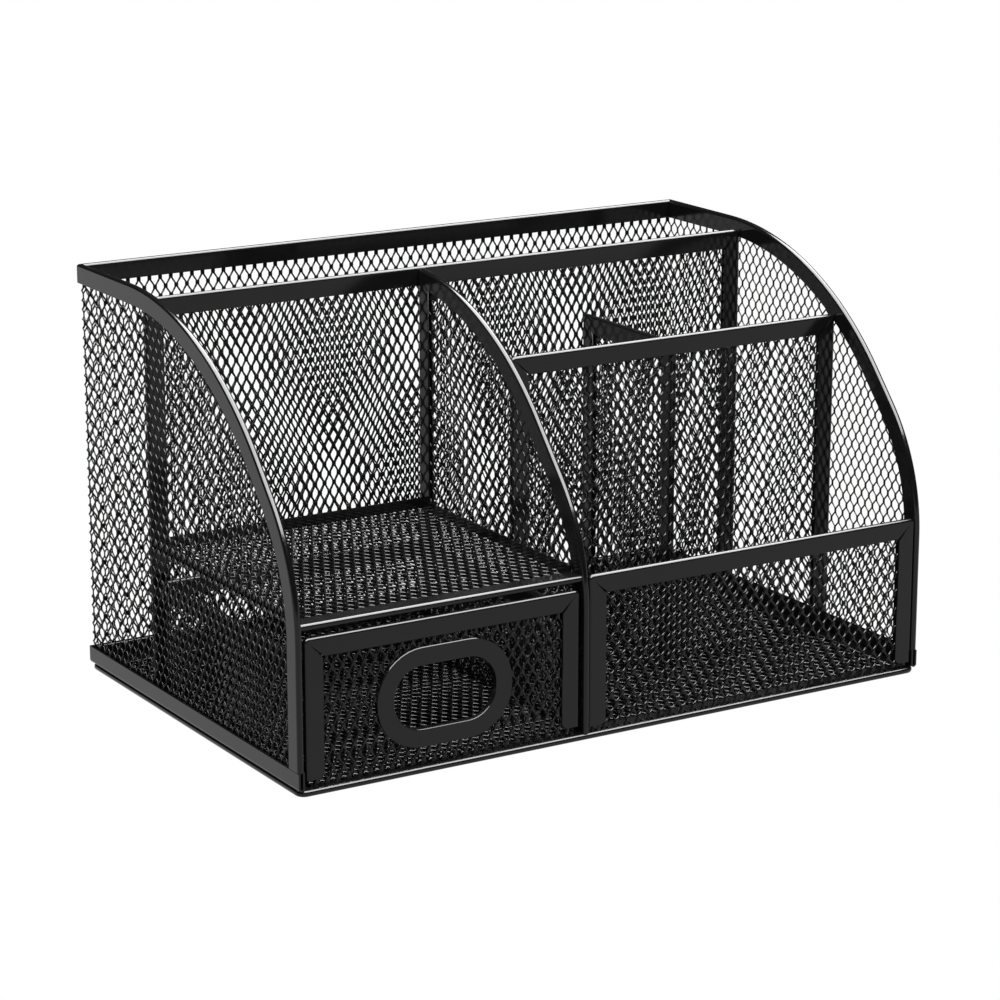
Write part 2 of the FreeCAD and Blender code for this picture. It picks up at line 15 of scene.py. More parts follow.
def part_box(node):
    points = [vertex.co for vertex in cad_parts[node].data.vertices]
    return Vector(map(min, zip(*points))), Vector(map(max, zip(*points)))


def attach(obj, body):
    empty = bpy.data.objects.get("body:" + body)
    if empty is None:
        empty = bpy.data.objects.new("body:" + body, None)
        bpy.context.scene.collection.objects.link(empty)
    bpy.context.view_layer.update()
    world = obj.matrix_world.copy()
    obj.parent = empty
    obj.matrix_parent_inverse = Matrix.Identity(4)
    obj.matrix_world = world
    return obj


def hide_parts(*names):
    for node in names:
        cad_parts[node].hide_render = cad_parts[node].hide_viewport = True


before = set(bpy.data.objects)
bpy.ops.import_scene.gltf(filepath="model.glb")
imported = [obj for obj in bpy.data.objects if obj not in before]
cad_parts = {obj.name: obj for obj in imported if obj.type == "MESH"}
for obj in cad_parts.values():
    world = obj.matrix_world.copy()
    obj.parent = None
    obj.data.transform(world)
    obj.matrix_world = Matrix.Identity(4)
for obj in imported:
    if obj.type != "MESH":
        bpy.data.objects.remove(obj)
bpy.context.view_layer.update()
MM = 0.001

# %% [markdown]
# A panel is flat, so it is drawn in its own plane: u runs along it, v runs up it, and w is the
# way its outer face looks. One matrix then stands the panel up in its place. The places are read
# from the solid model, which is why nothing here has to be fitted by eye.

# %% Panel planes
RIGHT, BACK, UP = Vector((1, 0, 0)), Vector((0, 1, 0)), Vector((0, 0, 1))
FRONT_VIEW, SIDE_VIEW, PLAN_VIEW = (RIGHT, UP), (BACK, UP), (RIGHT, BACK)


def panel_plane(low, high, view):
    """The matrix of a flat node's middle plane, and the node's size along u and v."""
    u, v = view
    w = u.cross(v)
    across = Vector([abs(part) for part in w])
    middle = (low + high).dot(across) / 2
    origin = low - low.dot(across) * across + middle * across
    size = high - low
    turn = Matrix((u, v, w)).transposed().to_4x4()
    return Matrix.Translation(origin) @ turn, size.dot(u), size.dot(v)


_, base_width, base_depth = panel_plane(*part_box("base_mesh"), PLAN_VIEW)
print("base sheet in mm:", round(base_width / MM, 1), "by", round(base_depth / MM, 1))

# %% [markdown]
# Materials and Geometry Nodes are both trees of nodes, so two small helpers serve the whole
# lesson: one turns a colour code as painters write it into the linear numbers that Blender
# wants, and one adds a node with its settings and everything that feeds it.

# %% Colours and nodes
def colour(hex_code):
    """A linear RGBA colour from an sRGB hex code."""
    parts = [int(hex_code[at : at + 2], 16) / 255 for at in (1, 3, 5)]
    linear = [p / 12.92 if p <= 0.04045 else ((p + 0.055) / 1.055) ** 2.4 for p in parts]
    return (*linear, 1)


def add(tree, kind, inputs=None, **settings):
    """Add a node, with its settings, its input values and the sockets that feed it."""
    node = tree.nodes.new(kind)
    for name, choice in settings.items():
        setattr(node, name, choice)
    for name, source in (inputs or {}).items():
        if isinstance(source, bpy.types.NodeSocket):
            tree.links.new(source, node.inputs[name])
        else:
            node.inputs[name].default_value = source
    return node


print("near black in linear light:", [round(part, 5) for part in colour("#030303")])

# %% [markdown]
# Powder coat is a film of polyester baked on the steel. It flows out nearly flat, so it mirrors
# softly, but it always keeps a fine ripple called orange peel and a trace of dust-fine grain. The
# film thins out on a cut edge and pools in corners, which is what the slow change of tone stands
# for. Its ripple is about a millimetre across on the strips. Round the thin strands of the mesh
# the film ripples more closely and more deeply, so those get a finish of their own, and it is
# this ripple that breaks their shine into separate glints.

# %% Powder coat
TONE_DRIFT = 9 * MM
GRAINS_PER_RIPPLE = 7
SHEEN_SPREAD = 0.02
# Polyester film has 1.5. These faces mirror the floor less than that, so it is matched to them.
COAT_IOR = 1.32


def powder_coat(name, dark, light, roughness, ripple, ripple_depth, grain_depth):
    """Satin powder coat on steel: two near blacks, orange peel and a finer grain."""
    material = bpy.data.materials.new(name)
    material.use_nodes = True
    tree = material.node_tree
    tree.nodes.clear()
    place = add(tree, "ShaderNodeTexCoord").outputs["Object"]

    def noise(scale, detail):
        given = {"Vector": place, "Scale": scale, "Detail": detail}
        return add(tree, "ShaderNodeTexNoise", given).outputs["Fac"]

    drift = noise(1 / TONE_DRIFT, 3)
    peel = noise(1 / ripple, 2)
    grain = noise(GRAINS_PER_RIPPLE / ripple, 1)
    tone = add(tree, "ShaderNodeValToRGB", {"Fac": drift})
    tone.color_ramp.elements[0].color = colour(dark)
    tone.color_ramp.elements[1].color = colour(light)
    sheen = add(
        tree,
        "ShaderNodeMapRange",
        {
            "Value": drift,
            "To Min": roughness - SHEEN_SPREAD,
            "To Max": roughness + SHEEN_SPREAD,
        },
    )
    rough_bump = add(
        tree,
        "ShaderNodeBump",
        {"Height": grain, "Strength": 1.0, "Distance": grain_depth},
    )
    bump = add(
        tree,
        "ShaderNodeBump",
        {
            "Height": peel,
            "Normal": rough_bump.outputs["Normal"],
            "Strength": 1.0,
            "Distance": ripple_depth,
        },
    )
    shader = add(
        tree,
        "ShaderNodeBsdfPrincipled",
        {
            "Base Color": tone.outputs["Color"],
            "Roughness": sheen.outputs["Result"],
            "Normal": bump.outputs["Normal"],
            "IOR": COAT_IOR,
        },
    )
    add(tree, "ShaderNodeOutputMaterial", {"Surface": shader.outputs["BSDF"]})
    return material


STRIP_COAT = powder_coat(
    "satin_powder_coat_on_strip", "#030303", "#040404", 0.13, 1.2 * MM, 0.0012 * MM, 0.0002 * MM
)
MESH_COAT = powder_coat(
    "satin_powder_coat_on_mesh", "#020202", "#030303", 0.12, 0.6 * MM, 0.006 * MM, 0.0003 * MM
)
print("coats:", STRIP_COAT.name, MESH_COAT.name)

# %% [markdown]
# Expanded mesh starts as plain sheet. A press slits it in staggered rows and pulls it open, so
# nothing is woven: four strands run into each knuckle, and the knuckle is two strands wide. The
# pull also turns every strand on edge a little, all the same way. That twist is why a sheet
# looks open and lively from one side and dense and dark from another. So the repeat is one
# knuckle with four half strands, and its neighbours meet it halfway. How far a sheet was pulled
# decides its diamonds, and that differs from sheet to sheet, so a table holds their sizes.

# %% One knuckle of the mesh
# The strand's own section, the length of a knuckle, and how far a strand is turned on edge.
STRAND_WIDTH = 0.62 * MM
STRAND_THICKNESS = 0.44 * MM
KNUCKLE_LENGTH = 1.25 * MM
STRAND_TWIST = math.radians(25)


def knuckle(diamond_width, diamond_height):
    """One knuckle with its four half strands, as a mesh that is open where neighbours join."""
    across = Vector((math.cos(STRAND_TWIST), 0, math.sin(STRAND_TWIST)))
    through = Vector((-math.sin(STRAND_TWIST), 0, math.cos(STRAND_TWIST)))
    shape = bmesh.new()

    def row(u, v, offsets, lift=0.0):
        """Pairs of corners, front and back, at distances across the twisted strand."""
        middle = Vector((u, v, lift))
        half = through * STRAND_THICKNESS / 2
        return [
            [shape.verts.new(middle + across * offset + half) for offset in offsets],
            [shape.verts.new(middle + across * offset - half) for offset in offsets],
        ]

    ends = {}
    for side in (-1, 1):
        ends[side] = row(0, side * KNUCKLE_LENGTH / 2, (-STRAND_WIDTH, 0, STRAND_WIDTH))
    (low_front, low_back), (high_front, high_back) = ends[-1], ends[1]
    for left in (0, 1):
        right = left + 1
        shape.faces.new((low_front[left], low_front[right], high_front[right], high_front[left]))
        shape.faces.new((low_back[right], low_back[left], high_back[left], high_back[right]))
    shape.faces.new((low_back[0], low_front[0], high_front[0], high_back[0]))
    shape.faces.new((low_front[2], low_back[2], high_back[2], high_front[2]))
    for side in (-1, 1):
        front, back = ends[side]
        for hand, left in ((-1, 0), (1, 1)):
            tip = row(
                hand * diamond_width / 4,
                side * diamond_height / 4,
                (-STRAND_WIDTH / 2, STRAND_WIDTH / 2),
            )
            start = [front[left], front[left + 1], back[left + 1], back[left]]
            end = [tip[0][0], tip[0][1], tip[1][1], tip[1][0]]
            for at in range(4):
                after = (at + 1) % 4
                corners = (start[at], start[after], end[after], end[at])
                shape.faces.new(corners if side < 0 else corners[::-1])
    mesh = bpy.data.meshes.new("knuckle")
    bmesh.ops.recalc_face_normals(shape, faces=shape.faces)
    shape.to_mesh(mesh)
    shape.free()
    return bpy.data.objects.new("knuckle", mesh)


# %% Diamonds of each sheet
# Width and height in mm.
USUAL_DIAMOND = (3.6, 6.0)
DIAMONDS = {
    "back_mesh": (3.664, 5.93),
    "left_side_mesh": (3.82, 5.93),
    "right_side_mesh": (3.82, 5.93),
    "rear_divider_mesh": (3.3, 6.1),
    "centre_divider_mesh": (3.82, 6.0),
    "pen_divider_mesh": (3.82, 6.0),
    "pen_panel_mesh": (4.0, 6.05),
    "tray_front_mesh": (4.0, 5.85),
    "drawer_front_mesh": (3.5, 6.0),
    "shelf_mesh": (3.45, 6.6),
    "base_mesh": (3.57, 6.9),
}


def diamond_of(node):
    """The width and height of a sheet's diamonds in metres."""
    width, height = DIAMONDS.get(node, USUAL_DIAMOND)
    return width * MM, height * MM


print("faces in one knuckle:", len(knuckle(*diamond_of("")).data.polygons))

# %% [markdown]
# Geometry Nodes lay the knuckles, and one tree serves every sheet. Whatever differs from sheet to
# sheet comes in through a socket: the panel's flat shape, its knuckle, how many columns and rows
# of points to try, half the diamond's width and height, and the middle of the grid.

# %% Sockets of the mesh tree
MESH_TREE = bpy.data.node_groups.new("expanded mesh", "GeometryNodeTree")
MESH_SOCKETS = {}
for socket_name, socket_kind in (
    ("Panel", "Geometry"),
    ("Knuckle", "Object"),
    ("Columns", "Int"),
    ("Rows", "Int"),
    ("Half Width", "Float"),
    ("Half Height", "Float"),
    ("Middle U", "Float"),
    ("Middle V", "Float"),
    ("Coat", "Material"),
):
    socket = MESH_TREE.interface.new_socket(
        socket_name, in_out="INPUT", socket_type=f"NodeSocket{socket_kind}"
    )
    MESH_SOCKETS[socket_name] = socket.identifier
MESH_TREE.interface.new_socket("Mesh", in_out="OUTPUT", socket_type="NodeSocketGeometry")
GIVEN = add(MESH_TREE, "NodeGroupInput").outputs
print("inputs of the mesh tree:", *MESH_SOCKETS)

# %% [markdown]
# The knuckles stand in staggered rows. So the tree makes a plain grid of points, half a diamond
# apart, and keeps every second one, like the dark squares of a chessboard.

# %% A chessboard of points
def maths(operation, first, second):
    """A sum of two numbers or sockets, done for every point."""
    node = add(MESH_TREE, "ShaderNodeMath", operation=operation)
    for socket, source in zip(node.inputs, (first, second)):
        if isinstance(source, bpy.types.NodeSocket):
            MESH_TREE.links.new(source, socket)
        else:
            socket.default_value = source
    return node.outputs[0]


def span(count, pitch):
    """How far a row of points reaches from its first to its last."""
    return maths("MULTIPLY", maths("SUBTRACT", GIVEN[count], 1), GIVEN[pitch])


POSITION = add(MESH_TREE, "GeometryNodeInputPosition").outputs["Position"]


def chessboard():
    """Every second point of a plain grid."""
    grid = add(
        MESH_TREE,
        "GeometryNodeMeshGrid",
        {
            "Vertices X": GIVEN["Columns"],
            "Vertices Y": GIVEN["Rows"],
            "Size X": span("Columns", "Half Width"),
            "Size Y": span("Rows", "Half Height"),
        },
    )
    spot = add(MESH_TREE, "ShaderNodeSeparateXYZ", {"Vector": POSITION}).outputs
    column = maths("ROUND", maths("DIVIDE", spot["X"], GIVEN["Half Width"]), 0)
    row = maths("ROUND", maths("DIVIDE", spot["Y"], GIVEN["Half Height"]), 0)
    odd = maths("FLOORED_MODULO", maths("ADD", column, row), 2)
    chess = add(
        MESH_TREE,
        "GeometryNodeDeleteGeometry",
        {"Geometry": grid.outputs["Mesh"], "Selection": maths("GREATER_THAN", odd, 0.5)},
    )
    middle = {"X": GIVEN["Middle U"], "Y": GIVEN["Middle V"]}
    shift = add(MESH_TREE, "ShaderNodeCombineXYZ", middle).outputs["Vector"]
    moved = add(
        MESH_TREE,
        "GeometryNodeSetPosition",
        {"Geometry": chess.outputs["Geometry"], "Offset": shift},
    )
    return moved.outputs["Geometry"]


grid_points = chessboard()
print("nodes for the chessboard:", len(MESH_TREE.nodes))

# %% [markdown]
# A ray shot down from each point finds out whether the panel lies under it. Where it misses, the
# point goes, so curved edges and holes need no extra work.

# %% Points over the panel
RAY_HEIGHT = 1 * MM


def over_panel(points):
    """Only those points that lie over the panel."""
    lift = {0: POSITION, 1: (0, 0, RAY_HEIGHT)}
    above = add(MESH_TREE, "ShaderNodeVectorMath", lift, operation="ADD").outputs["Vector"]
    ray = add(
        MESH_TREE,
        "GeometryNodeRaycast",
        {
            "Target Geometry": GIVEN["Panel"],
            "Source Position": above,
            "Ray Direction": (0, 0, -1),
            "Ray Length": 2 * RAY_HEIGHT,
        },
    )
    missed = add(MESH_TREE, "FunctionNodeBooleanMath", {0: ray.outputs["Is Hit"]}, operation="NOT")
    over = add(
        MESH_TREE,
        "GeometryNodeDeleteGeometry",
        {"Geometry": points, "Selection": missed.outputs["Boolean"]},
    )
    return over.outputs["Geometry"]


panel_points = over_panel(grid_points)
print("nodes with the ray test:", len(MESH_TREE.nodes))

# %% [markdown]
# Instances keep the laying quick. At the end they are made real and welded, because an instance
# cannot be exported. Smooth shading rounds the strand's four edges, as the coat does.

# %% Knuckles on the points
WELD_DISTANCE = 0.02 * MM


def lay_knuckles(points):
    """One welded and coated mesh, with a knuckle on every point."""
    knuckle_shape = add(MESH_TREE, "GeometryNodeObjectInfo", {"Object": GIVEN["Knuckle"]})
    laid = add(
        MESH_TREE,
        "GeometryNodeInstanceOnPoints",
        {"Points": points, "Instance": knuckle_shape.outputs["Geometry"]},
    )
    mesh = laid.outputs["Instances"]
    for kind, settings in (
        ("GeometryNodeRealizeInstances", {}),
        ("GeometryNodeMergeByDistance", {"Distance": WELD_DISTANCE}),
        ("GeometryNodeSetShadeSmooth", {}),
        ("GeometryNodeSetMaterial", {"Material": GIVEN["Coat"]}),
    ):
        mesh = add(MESH_TREE, kind, {"Geometry": mesh, **settings}).outputs["Geometry"]
    return mesh


add(MESH_TREE, "NodeGroupOutput", {"Mesh": lay_knuckles(panel_points)})
print("nodes in the mesh tree:", len(MESH_TREE.nodes))

# %% [markdown]
# To use the tree, a panel's outline becomes one flat face on a carrier object. The tree runs on
# it as a modifier, its result is kept as a plain mesh, and the carrier goes. Where a strand is
# cut off at the panel's edge its end is open, so every ring of four edges gets a lid.

# %% Filling a panel
OPEN_END_EDGES = 4


def panel_mesh(node, panel, matrix, middle_u, foot):
    """Fill a flat outline with a node's diamonds, and stand it up. One knuckle is at middle_u."""
    flat = bpy.data.meshes.new("panel")
    shape = bmesh.new()
    for ring in panel:
        loop = [shape.verts.new((u, v, 0)) for u, v in ring]
        for at in range(len(loop)):
            shape.edges.new((loop[at - 1], loop[at]))
    bmesh.ops.triangle_fill(shape, edges=shape.edges, use_beauty=True)
    shape.to_mesh(flat)
    shape.free()
    us = [u for u, _ in panel[0]]
    vs = [v for _, v in panel[0]]
    diamond_width, diamond_height = diamond_of(node)
    half_width, half_height = diamond_width / 2, diamond_height / 2
    reach_u = math.ceil(max(max(us) - middle_u, middle_u - min(us)) / half_width) + 1
    half_rows = math.ceil((max(vs) - foot) / half_height / 2) + 1
    carrier = bpy.data.objects.new("carrier", flat)
    bpy.context.scene.collection.objects.link(carrier)
    modifier = carrier.modifiers.new("mesh", "NODES")
    modifier.node_group = MESH_TREE
    values = {
        "Knuckle": knuckle(diamond_width, diamond_height),
        "Columns": 2 * reach_u + 1,
        "Rows": 2 * half_rows + 1,
        "Half Width": half_width,
        "Half Height": half_height,
        "Middle U": middle_u,
        "Middle V": foot + half_height / 2 + half_rows * half_height,
        "Coat": MESH_COAT,
    }
    for name, given in values.items():
        modifier[MESH_SOCKETS[name]] = given
    bpy.context.view_layer.update()
    evaluated = carrier.evaluated_get(bpy.context.evaluated_depsgraph_get())
    mesh = bpy.data.meshes.new_from_object(evaluated)
    bpy.data.objects.remove(carrier)
    shape = bmesh.new()
    shape.from_mesh(mesh)
    bmesh.ops.holes_fill(shape, edges=shape.edges, sides=OPEN_END_EDGES)
    shape.to_mesh(mesh)
    shape.free()
    mesh.transform(matrix)
    return mesh


# %% [markdown]
# Strip is bent from flat steel into a U that grips the mesh, and its fold is all but a half
# circle. Seen from the front that fold is the thin bright line along every edge.
# A strip is a row of stations along the edge. At each one the same section is drawn, and only
# its depth changes: less at a rounded foot, and less again where two strips meet in a mitre.

# %% Stations along an edge
STRIP_DEPTH = 6 * MM
ARC_STEPS = 6


def turned(angle):
    """The way that an angle points, counted from u towards v."""
    return Vector((math.cos(angle), math.sin(angle)))


def straight(start, end, inward, depths=((0, STRIP_DEPTH), (1, STRIP_DEPTH))):
    """Stations along a straight edge. depths pairs a share of the way with a depth."""
    start, end = Vector(start), Vector(end)
    return [(start.lerp(end, share), Vector(inward), depth) for share, depth in depths]


def bend(centre, radius, start, end, depth, steps=ARC_STEPS):
    """Stations round an arc, whose inward side is its centre."""
    centre = Vector(centre)
    stations = []
    for step in range(steps + 1):
        way = turned(math.radians(start + (end - start) * step / steps))
        stations.append((centre + way * radius, -way, depth))
    return stations


print("depths of a plain strip:", [depth for _, _, depth in straight((0, 0), (1, 0), (0, 1))])

# %% The folded strip
STRIP_THICKNESS = 2 * MM
SHEET_GAUGE = 0.6 * MM
FOLD_RADIUS = 0.9 * MM
CUT_EDGE = 0.15 * MM
SHARP_EDGE = math.radians(40)
SAME_PLACE = 0.002 * MM


def fold_section(depth, fold):
    """The closed outline of the strip across its edge: (distance inwards, height in w)."""
    half = STRIP_THICKNESS / 2
    inner = half - SHEET_GAUGE
    outline = [(depth, half - CUT_EDGE), (depth - CUT_EDGE, half), (fold + CUT_EDGE, half)]
    for step in range(ARC_STEPS + 1):
        angle = math.pi / 2 * step / ARC_STEPS
        reach = fold * (1 - math.sin(angle))
        outline.append((reach, half - fold * (1 - math.cos(angle))))
    back = [(distance, -height) for distance, height in reversed(outline)]
    grip = [(depth, -inner), (SHEET_GAUGE, -inner), (SHEET_GAUGE, inner), (depth, inner)]
    return outline + back + grip


def folded_strip(name, matrix, stations, closed=False, shear=None, fold=FOLD_RADIUS):
    """Sweep the strip's section along its stations and stand it up."""
    shape = bmesh.new()
    rings = []
    for number, (spot, inward, depth) in enumerate(stations):
        ring = []
        for distance, height in fold_section(depth, fold):
            at = spot + inward * distance
            corner = Vector((at.x, at.y, height))
            if shear:
                corner = shear(number, corner)
            ring.append(shape.verts.new(corner))
        rings.append(ring)
    pairs = list(zip(rings, rings[1:]))
    if closed:
        pairs.append((rings[-1], rings[0]))
    for here, there in pairs:
        for at in range(len(here)):
            shape.faces.new((here[at - 1], here[at], there[at], there[at - 1]))
    if not closed:
        shape.faces.new(rings[0])
        shape.faces.new(rings[-1][::-1])
    bmesh.ops.remove_doubles(shape, verts=shape.verts, dist=SAME_PLACE)
    bmesh.ops.recalc_face_normals(shape, faces=shape.faces)
    mesh = bpy.data.meshes.new(name)
    shape.to_mesh(mesh)
    shape.free()
    mesh.shade_smooth()
    mesh.set_sharp_from_angle(angle=SHARP_EDGE)
    mesh.transform(matrix)
    mesh.materials.append(STRIP_COAT)
    return mesh


print("corners in one section:", len(fold_section(STRIP_DEPTH, FOLD_RADIUS)))

# %% [markdown]
# A shaped strip is only a row of depths. Each pair below is a share of the way along the edge
# and the strip's depth there, so a rounded foot is a few pairs, and a mitre is two.

# %% Feet, mitres and arches
FOOT_RADIUS = 1.8 * MM
CORNER_RADIUS = 1.6 * MM
MITRE_GAP = 0.4 * MM


def foot_shares(length, radius=FOOT_RADIUS):
    """Depths that round the inner corner of a strip's foot."""
    shares = []
    for step in range(ARC_STEPS + 1):
        angle = math.pi / 2 * step / ARC_STEPS
        rise = radius * (1 - math.cos(angle))
        shares.append((rise / length, STRIP_DEPTH - radius * (1 - math.sin(angle))))
    return shares


def mitre_shares(length, radius=CORNER_RADIUS, gap=MITRE_GAP):
    """Depths on the last stretch before a corner, where the strip narrows to the mitre's tip."""
    return [(1 - (STRIP_DEPTH - radius + gap) / length, STRIP_DEPTH), (1, radius)]


def flipped(shares):
    """The same depths, counted from the other end."""
    return [(1 - share, depth) for share, depth in reversed(shares)]


def arch_stations(width, height):
    """Up one side, over the top and down the other, with mitred corners."""
    leg, top = height - CORNER_RADIUS, width - 2 * CORNER_RADIUS
    side = foot_shares(leg) + mitre_shares(leg)
    over = flipped(mitre_shares(top)) + mitre_shares(top)
    return (
        straight((0, 0), (0, leg), (1, 0), side)
        + bend((CORNER_RADIUS, leg), CORNER_RADIUS, 180, 90, CORNER_RADIUS)
        + straight((CORNER_RADIUS, height), (width - CORNER_RADIUS, height), (0, -1), over)
        + bend((width - CORNER_RADIUS, leg), CORNER_RADIUS, 90, 0, CORNER_RADIUS)
        + straight((width, leg), (width, 0), (-1, 0), flipped(side))
    )


print("stations of an arch:", len(arch_stations(base_width, base_width)))

# %% [markdown]
# Four upright panels are framed alike: one strip runs up a side, over the top and down the
# other, and the sheet of mesh sits in its groove. Each finished piece hides the plain solid that
# it dresses and rides on that solid's body, so it moves where the solid moves.

# %% Framed panels
SHEET_INSET = 1.6 * MM
SHEET_EDGE = 0.5 * MM


def hang(name, mesh, body, node):
    """Hang a finished mesh on its body, in place of the solid that it dresses."""
    piece = bpy.data.objects.new(name, mesh)
    bpy.context.scene.collection.objects.link(piece)
    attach(piece, body)
    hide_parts(node)
    print(name, "has", len(mesh.polygons), "faces")


def rectangle(left, low, right, high):
    return [(left, low), (right, low), (right, high), (left, high)]


def framed_strip(name, view, body="housing"):
    """Strip round the two sides and the top of an upright panel."""
    matrix, width, height = panel_plane(*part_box(f"{name}_edging"), view)
    mesh = folded_strip(f"{name}_strip", matrix, arch_stations(width, height))
    hang(f"{name}_strip", mesh, body, f"{name}_edging")


def flat_sheet(node, view, body="housing", insets=(SHEET_INSET,) * 4, holes=(), box=None):
    """A rectangle of mesh. insets are those of its left, foot, right and top edge."""
    matrix, width, height = panel_plane(*(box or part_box(node)), view)
    left, low, right, high = insets
    panel = [rectangle(left, low, width - right, height - high), *holes]
    mesh = panel_mesh(node, panel, matrix, width / 2, low)
    hang(f"{node.removesuffix('_mesh')}_sheet", mesh, body, node)


OPEN_FOOT = (SHEET_INSET, 0, SHEET_INSET, SHEET_INSET)
for panel_name, panel_view in (
    ("rear_divider", FRONT_VIEW),
    ("pen_panel", FRONT_VIEW),
    ("pen_divider", SIDE_VIEW),
    ("tray_front", FRONT_VIEW),
):
    framed_strip(panel_name, panel_view)
    flat_sheet(f"{panel_name}_mesh", panel_view, insets=OPEN_FOOT)

# %% [markdown]
# The two side walls and the centre divider have a curved front: an upright, a lower arc, a short
# straight and an upper arc. The strip follows it as one piece, so its flanges are cut as arcs
# from the flat, and only the fold carries round. The same outline, moved inwards, bounds the
# mesh behind it.

# %% Curved fronts
def curve_parts(height, upper, lower, slope, run):
    """The centres of a curved front's two arcs, measured from its front edge and the table."""
    turn = math.radians(slope)
    low = height - upper * (1 - math.cos(turn)) - run * math.sin(turn) - lower * math.cos(turn)
    high_u = lower * (1 - math.sin(turn)) + run * math.cos(turn) + upper * math.sin(turn)
    return Vector((lower, low)), Vector((high_u, height - upper))


SIDE_CURVE = {
    "height": 130 * MM,
    "upper": 107 * MM,
    "lower": 60 * MM,
    "slope": 48.6,
    "run": 12.6 * MM,
}
CURVE_STEPS = 20


def curved_front(curve, foot, end_angle):
    """Stations up a curved front that starts at height foot, each as deep as the strip."""
    low, high = curve_parts(**curve)
    low.y -= foot
    high.y -= foot
    knee = 90 + curve["slope"]
    return (
        straight((0, 0), (0, low.y), (1, 0))
        + bend(low, curve["lower"], 180, knee, STRIP_DEPTH, CURVE_STEPS)
        + bend(high, curve["upper"], knee, end_angle, STRIP_DEPTH, CURVE_STEPS)
    )


def outline_of(stations, inset):
    """The plain outline of a row of stations, moved inwards."""
    return [tuple(spot + inward * inset) for spot, inward, _ in stations]


print("stations up a side wall's curve:", len(curved_front(SIDE_CURVE, 0, 90)))

# %% [markdown]
# A wall's other edges are bound by straight strips. Where two walls meet at a rear corner, their
# strips are cut at 45 degrees through the thickness, so that neither end pokes through the other.

# %% Straight strips of a wall
def mitred_end(outer, number_of_last, ends=(1,)):
    """Shear the end of a strip to 45 degrees, so that the next wall's strip can meet it."""

    def shear(number, corner):
        half = STRIP_THICKNESS / 2
        setback = half - outer * corner.z
        if number == number_of_last and 1 in ends:
            corner.x -= setback
        if number == 0 and 0 in ends:
            corner.x += setback
        return corner

    return shear


def wall_strip(node, view, outer, ends, body="housing", fold_up=False):
    """A strip along the top or the foot of a wall. outer is 1 where the wall looks along w."""
    matrix, length, depth = panel_plane(*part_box(node), view)
    edge, inward = (depth, -1) if fold_up else (0, 1)
    stations = straight((0, edge), (length, edge), (0, inward), ((0, depth), (1, depth)))
    mesh = folded_strip(node, matrix, stations, shear=mitred_end(outer, 1, ends))
    hang(f"{node}_strip", mesh, body, node)


shorter = mitred_end(1, 1)(1, Vector((0, 0, 0)))
print("a mitre cuts the middle back by", round(-shorter.x / MM, 2), "mm")

# %% [markdown]
# A side wall is then one long strip up its front, over the curve and along the top to the rear
# corner, a sheet behind it, and a band at its foot. The lattice is counted from the rear corner,
# so that its last half strands end there, where those of the back wall begin.

# %% Side walls
CURVED_INSET = 2.2 * MM
BEND_MARGIN = 1.0 * MM


def side_wall(name, outer):
    """A side wall. outer is 1 where the outer face looks along the panel's w, else -1."""
    edging, sheet = f"{name}_side_edging", f"{name}_side_mesh"
    low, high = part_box(edging)
    matrix, length, height = panel_plane(low, high, SIDE_VIEW)
    stations = curved_front(SIDE_CURVE, low.z, 90)
    crown = stations[-1][0]
    stations += straight((crown.x, height), (length, height), (0, -1))[1:]
    mesh = folded_strip(
        f"{name}_side_strip", matrix, stations, shear=mitred_end(outer, len(stations) - 1)
    )
    hang(f"{name}_side_strip", mesh, "housing", edging)

    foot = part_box(sheet)[0].z - low.z + SHEET_EDGE
    back = length - BEND_MARGIN
    curve = outline_of(stations, CURVED_INSET)
    panel = [[(curve[0][0], foot), *curve[:-1], (back, curve[-1][1]), (back, foot)]]
    last_knuckle = back - diamond_of(sheet)[0] / 4
    mesh = panel_mesh(sheet, panel, matrix, last_knuckle, foot)
    hang(f"{name}_side_sheet", mesh, "housing", sheet)
    wall_strip(f"{name}_bottom_band", SIDE_VIEW, outer, (1,))


side_wall("left", -1)
side_wall("right", 1)

# %% [markdown]
# The back wall has no frame of its own: the strip on its top and the band at its foot are mitred
# into those of the side walls. Its lattice ends on the corner line, as theirs does, so that the
# strands of two walls meet there as if the sheet had been bent.

# %% Back wall
flat_sheet("back_mesh", FRONT_VIEW, insets=(0, SHEET_EDGE, 0, SHEET_INSET))
wall_strip("back_top_edging", FRONT_VIEW, -1, (0, 1), fold_up=True)
wall_strip("back_bottom_band", FRONT_VIEW, -1, (0, 1))

# %% [markdown]
# The centre divider has a curve of its own and no strip along its top: its front curve runs on
# into a small corner at the rear divider, and the strip goes down from there as an upright.

# %% Centre divider
DIVIDER_CURVE = {
    "height": 126.5 * MM,
    "upper": 100 * MM,
    "lower": 57 * MM,
    "slope": 48.8,
    "run": 20.5 * MM,
}


